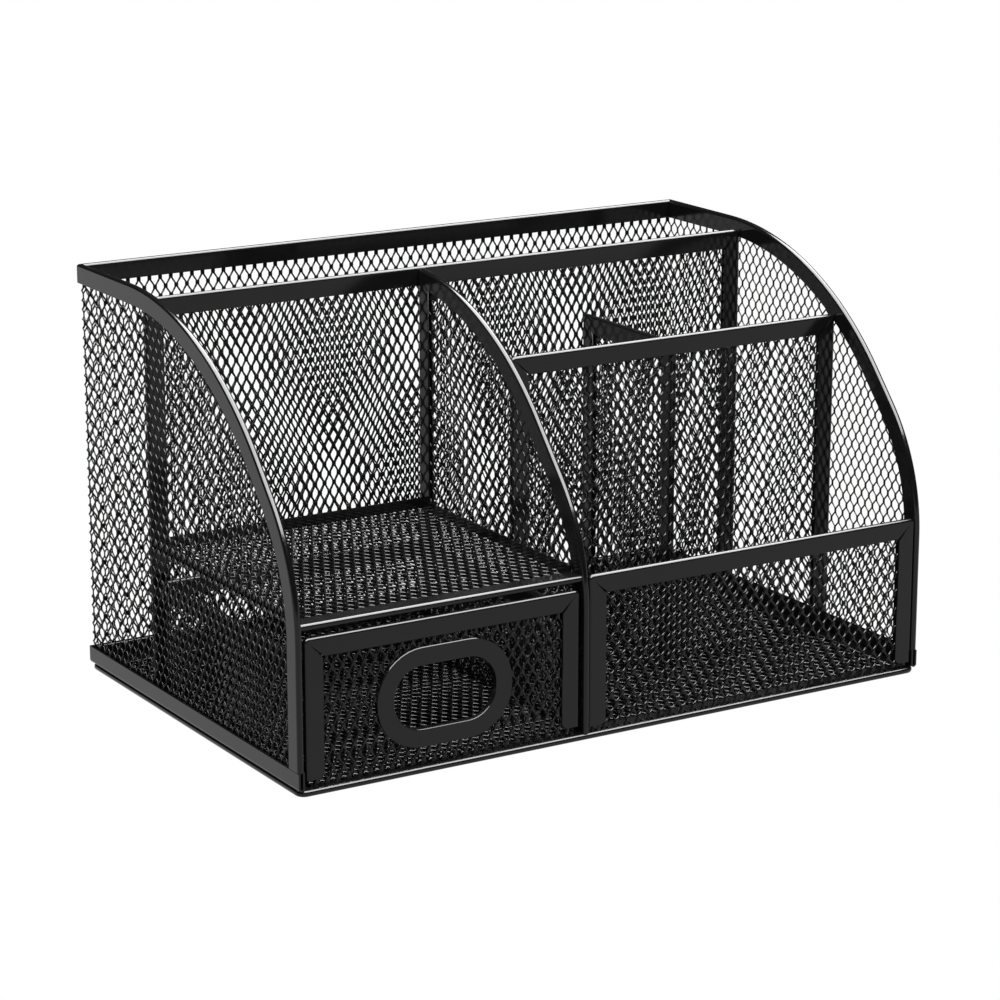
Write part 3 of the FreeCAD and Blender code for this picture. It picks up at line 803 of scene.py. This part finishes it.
def centre_divider():
    low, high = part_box("centre_divider_edging")
    matrix, length, height = panel_plane(low, high, SIDE_VIEW)
    _, crown = curve_parts(**DIVIDER_CURVE)
    crown = Vector((crown.x, crown.y - low.z))
    corner_u = length - CORNER_RADIUS
    reach = DIVIDER_CURVE["upper"] - CORNER_RADIUS
    corner = Vector((corner_u, crown.y + math.sqrt(reach**2 - (crown.x - corner_u) ** 2)))
    end_angle = math.degrees(math.atan2(corner.y - crown.y, corner.x - crown.x))
    stations = curved_front(DIVIDER_CURVE, low.z, end_angle)
    curve = outline_of(stations, CURVED_INSET)
    stations[-1] = (stations[-1][0], stations[-1][1], CORNER_RADIUS)
    stations += bend(corner, CORNER_RADIUS, end_angle, 0, CORNER_RADIUS)[1:]
    upright = flipped(mitre_shares(corner.y)) + [(1, STRIP_DEPTH)]
    stations += straight((length, corner.y), (length, 0), (-1, 0), upright)
    mesh = folded_strip("centre_divider_strip", matrix, stations)
    hang("centre_divider_strip", mesh, "housing", "centre_divider_edging")
    back = length - CURVED_INSET
    inner = [spot for spot in curve if spot[0] < back]
    panel = [[(inner[0][0], 0), *inner, (back, inner[-1][1]), (back, 0)]]
    mesh = panel_mesh("centre_divider_mesh", panel, matrix, length / 2, 0)
    hang("centre_divider_sheet", mesh, "housing", "centre_divider_mesh")


centre_divider()

# %% [markdown]
# The base is one sheet, and one strip runs round all four sides, so it is the only strip here
# that closes on itself. At a rounded corner the strip narrows to the corner's radius and widens
# again.

# %% Base
BASE_CORNER = 3 * MM


def base():
    matrix, width, depth = panel_plane(*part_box("base_edging"), PLAN_VIEW)
    radius = BASE_CORNER
    stations = []
    for centre, start in (
        ((radius, depth - radius), 180),
        ((width - radius, depth - radius), 90),
        ((width - radius, radius), 0),
        ((radius, radius), -90),
    ):
        corner = bend(centre, radius, start, start - 90, radius)
        way_in, way_out = corner[0], corner[-1]
        lead = STRIP_DEPTH - radius
        before = way_in[0] - turned(math.radians(start - 90)) * lead
        after = way_out[0] + turned(math.radians(start - 180)) * lead
        stations.append((before, way_in[1], STRIP_DEPTH))
        stations += corner
        stations.append((after, way_out[1], STRIP_DEPTH))
    mesh = folded_strip("base_strip", matrix, stations, closed=True)
    hang("base_strip", mesh, "housing", "base_edging")
    flat_sheet("base_mesh", PLAN_VIEW)


base()

# %% [markdown]
# The shelf over the drawer is a sheet whose front edge is bound in a strip that lies flat. Its
# other three edges are turned up into low lips, where it was welded to the walls. Folded so
# tightly, the mesh of a lip closes up, so a lip is drawn as solid steel.

# %% Shelf
SHELF_GAUGE = 0.8 * MM


def shelf():
    low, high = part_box("shelf_mesh")
    strip_low, strip_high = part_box("shelf_front_edging")
    flat = (low, Vector((high.x, high.y, low.z + SHELF_GAUGE)))
    insets = (SHEET_EDGE, SHEET_INSET, SHEET_EDGE, SHEET_EDGE)
    flat_sheet("shelf_mesh", PLAN_VIEW, insets=insets, box=flat)
    matrix, width, _ = panel_plane(strip_low, strip_high, PLAN_VIEW)
    mesh = folded_strip("shelf_front_strip", matrix, straight((0, 0), (width, 0), (0, 1)))
    hang("shelf_front_strip", mesh, "housing", "shelf_front_edging")
    lips = bmesh.new()
    front = strip_high.y
    for start, end in (
        ((low.x, front, low.z), (low.x + SHELF_GAUGE, high.y, high.z)),
        ((high.x - SHELF_GAUGE, front, low.z), high),
        ((low.x, high.y - SHELF_GAUGE, low.z), high),
    ):
        start, end = Vector(start), Vector(end)
        stretch = Matrix.Diagonal((end - start).to_4d())
        place = Matrix.Translation((start + end) / 2) @ stretch
        bmesh.ops.create_cube(lips, size=1, matrix=place)
    mesh = bpy.data.meshes.new("shelf_lips")
    lips.to_mesh(mesh)
    lips.free()
    mesh.materials.append(STRIP_COAT)
    hang("shelf_lips", mesh, "housing", "shelf_mesh")


shelf()

# %% [markdown]
# The drawer's front is framed like the other panels and has a finger hole, bound by a pressed
# ring. A ring is a closed strip again, but its face is flat to within a third of a millimetre of
# its edge, so it has a fold of its own. The hole in the mesh is a second outline in the same
# panel. Every piece of the drawer rides on the drawer's own body, so they slide out together.

# %% Drawer's front
RING_BAND = 5.5 * MM
RING_CORNER = 14.8 * MM
RING_EDGE = 0.3 * MM
RING_OVERLAP = 1.5 * MM


def rounded_ring(centre, width, height, radius, steps=10):
    """Corner arcs of a rounded rectangle as (spot, outward way), clockwise from the left."""
    spots = []
    for hand_u, hand_v, start in ((-1, 1, 180), (1, 1, 90), (1, -1, 0), (-1, -1, -90)):
        middle = centre + Vector((hand_u * (width / 2 - radius), hand_v * (height / 2 - radius)))
        for step in range(steps + 1):
            way = turned(math.radians(start - 90 * step / steps))
            spots.append((middle + way * radius, way))
    return spots


def drawer_front():
    framed_strip("drawer_front", FRONT_VIEW, "drawer")
    ring_low, ring_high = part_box("drawer_pull_ring")
    matrix, width, height = panel_plane(ring_low, ring_high, FRONT_VIEW)
    centre = Vector((width / 2, height / 2))
    hole = rounded_ring(
        centre, width - 2 * RING_BAND, height - 2 * RING_BAND, RING_CORNER - RING_BAND
    )
    stations = [(spot, way, RING_BAND) for spot, way in hole]
    mesh = folded_strip("drawer_pull_ring", matrix, stations, closed=True, fold=RING_EDGE)
    hang("drawer_pull_ring_collar", mesh, "drawer", "drawer_pull_ring")

    sheet_low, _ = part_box("drawer_front_mesh")
    shift = Vector((ring_low.x - sheet_low.x, ring_low.z - sheet_low.z))
    opening = rounded_ring(
        centre + shift,
        width - 2 * RING_BAND + 2 * RING_OVERLAP,
        height - 2 * RING_BAND + 2 * RING_OVERLAP,
        RING_CORNER - RING_BAND + RING_OVERLAP,
    )
    hole_outline = [tuple(spot) for spot, _ in opening]
    flat_sheet("drawer_front_mesh", FRONT_VIEW, "drawer", OPEN_FOOT, [hole_outline])


drawer_front()

# %% [markdown]
# Behind its front the drawer is a tray: a floor, two sides and a back. Each of the three walls
# carries a rim along its top, mitred at the rear corners like the strips of the housing.

# %% Drawer's tray
def drawer_tray():
    flat_sheet("drawer_floor_mesh", PLAN_VIEW, "drawer", (SHEET_EDGE,) * 4)
    wall = (SHEET_EDGE, 0, SHEET_EDGE, SHEET_INSET)
    flat_sheet("drawer_left_mesh", SIDE_VIEW, "drawer", wall)
    flat_sheet("drawer_right_mesh", SIDE_VIEW, "drawer", wall)
    flat_sheet("drawer_back_mesh", FRONT_VIEW, "drawer", wall)
    wall_strip("drawer_left_rim", SIDE_VIEW, -1, (1,), "drawer", fold_up=True)
    wall_strip("drawer_right_rim", SIDE_VIEW, 1, (1,), "drawer", fold_up=True)
    wall_strip("drawer_back_rim", FRONT_VIEW, -1, (0, 1), "drawer", fold_up=True)


drawer_tray()

# %% [markdown]
# The camera stands to the front left, a metre away, and looks down a little. Its place, heading,
# dip and focal length were worked out from the corners and edges of the object, for a square
# frame. It keeps no shift and no depth of field, so the same camera serves every other view.

# %% Camera
CAMERA_PLACE = Vector((-517.0, -843.6, 324.1)) * MM
CAMERA_HEADING = math.radians(31.46)
CAMERA_DIP = math.radians(15.18)
FOCAL_PIXELS = 3292
PHOTO_PIXELS = 1000
SENSOR_WIDTH = 36
FARTHEST_SEEN = 20


def add_camera():
    data = bpy.data.cameras.new("camera")
    data.sensor_width = SENSOR_WIDTH
    data.lens = FOCAL_PIXELS / PHOTO_PIXELS * data.sensor_width
    data.clip_end = FARTHEST_SEEN
    camera = bpy.data.objects.new("camera", data)
    camera.location = CAMERA_PLACE
    camera.rotation_euler = (math.pi / 2 - CAMERA_DIP, 0, -CAMERA_HEADING)
    bpy.context.scene.collection.objects.link(camera)
    bpy.context.scene.camera = camera
    print("focal length in mm:", round(data.lens, 1))


add_camera()

# %% [markdown]
# A shiny black thing shows only what it mirrors. Its upright faces mirror the floor, and a floor
# of one even white makes them one even dark grey. So the floor glows by itself. It would stay
# white even under the base, where no light could reach, so a black card lies there.

# %% Floor and card
FLOOR_REACH = 6
FLOOR_DROP = 0.3 * MM
CARD_DROP = 0.1 * MM
CARD_INSET = 2 * MM


def add_floor():
    """A floor that glows white all over, like a studio's lit sweep."""
    mesh = bpy.data.meshes.new("floor")
    corners = rectangle(-FLOOR_REACH, -FLOOR_REACH, FLOOR_REACH, FLOOR_REACH)
    mesh.from_pydata([(x, y, 0) for x, y in corners], [], [(0, 1, 2, 3)])
    material = bpy.data.materials.new("white_sweep")
    material.use_nodes = True
    tree = material.node_tree
    tree.nodes.clear()
    glow = add(tree, "ShaderNodeEmission", {"Color": (1, 1, 1, 1), "Strength": 1.0})
    add(tree, "ShaderNodeOutputMaterial", {"Surface": glow.outputs["Emission"]})
    mesh.materials.append(material)
    floor = bpy.data.objects.new("floor", mesh)
    floor.location.z = -FLOOR_DROP
    bpy.context.scene.collection.objects.link(floor)


def add_shadow_card():
    """The dark of the floor under the base."""
    low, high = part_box("base_edging")
    left, right = low.x + CARD_INSET, high.x - CARD_INSET
    front, back = low.y + CARD_INSET, high.y - CARD_INSET
    corners = rectangle(left, front, right, back)
    mesh = bpy.data.meshes.new("shadow_card")
    mesh.from_pydata([(x, y, 0) for x, y in corners], [], [(0, 1, 2, 3)])
    material = bpy.data.materials.new("black_card")
    material.use_nodes = True
    shader = material.node_tree.nodes["Principled BSDF"]
    shader.inputs["Base Color"].default_value = colour("#020202")
    shader.inputs["Roughness"].default_value = 1.0
    shader.inputs["Specular IOR Level"].default_value = 0.0
    mesh.materials.append(material)
    card = bpy.data.objects.new("shadow_card", mesh)
    card.location.z = -CARD_DROP
    bpy.context.scene.collection.objects.link(card)


add_floor()
add_shadow_card()

# %% [markdown]
# The folds mirror the ceiling, so one broad softbox overhead draws the bright line along every
# edge and the glints on the strands. The room is left nearly dark, so that what faces the horizon
# stays black. The standard view transform keeps the floor's white at pure white.

# %% Softbox and room
SOFTBOX_PLACE = (0.0, -0.35, 1.65)
SOFTBOX_WIDTH, SOFTBOX_DEPTH = 3.0, 2.8
SOFTBOX_POWER = 740
ROOM_LIGHT = 0.008


def add_softbox():
    """A softbox that hangs level over the object and shines straight down."""
    data = bpy.data.lights.new("ceiling_softbox", "AREA")
    data.shape = "RECTANGLE"
    data.size, data.size_y = SOFTBOX_WIDTH, SOFTBOX_DEPTH
    data.energy = SOFTBOX_POWER
    lamp = bpy.data.objects.new("ceiling_softbox", data)
    lamp.location = SOFTBOX_PLACE
    bpy.context.scene.collection.objects.link(lamp)
    print("softbox:", SOFTBOX_WIDTH, "by", SOFTBOX_DEPTH, "metres,", SOFTBOX_POWER, "watts")


add_softbox()
world = bpy.context.scene.world or bpy.data.worlds.new("world")
bpy.context.scene.world = world
world.use_nodes = True
world.node_tree.nodes["Background"].inputs["Color"].default_value = (1, 1, 1, 1)
world.node_tree.nodes["Background"].inputs["Strength"].default_value = ROOM_LIGHT
bpy.context.scene.view_settings.view_transform = "Standard"
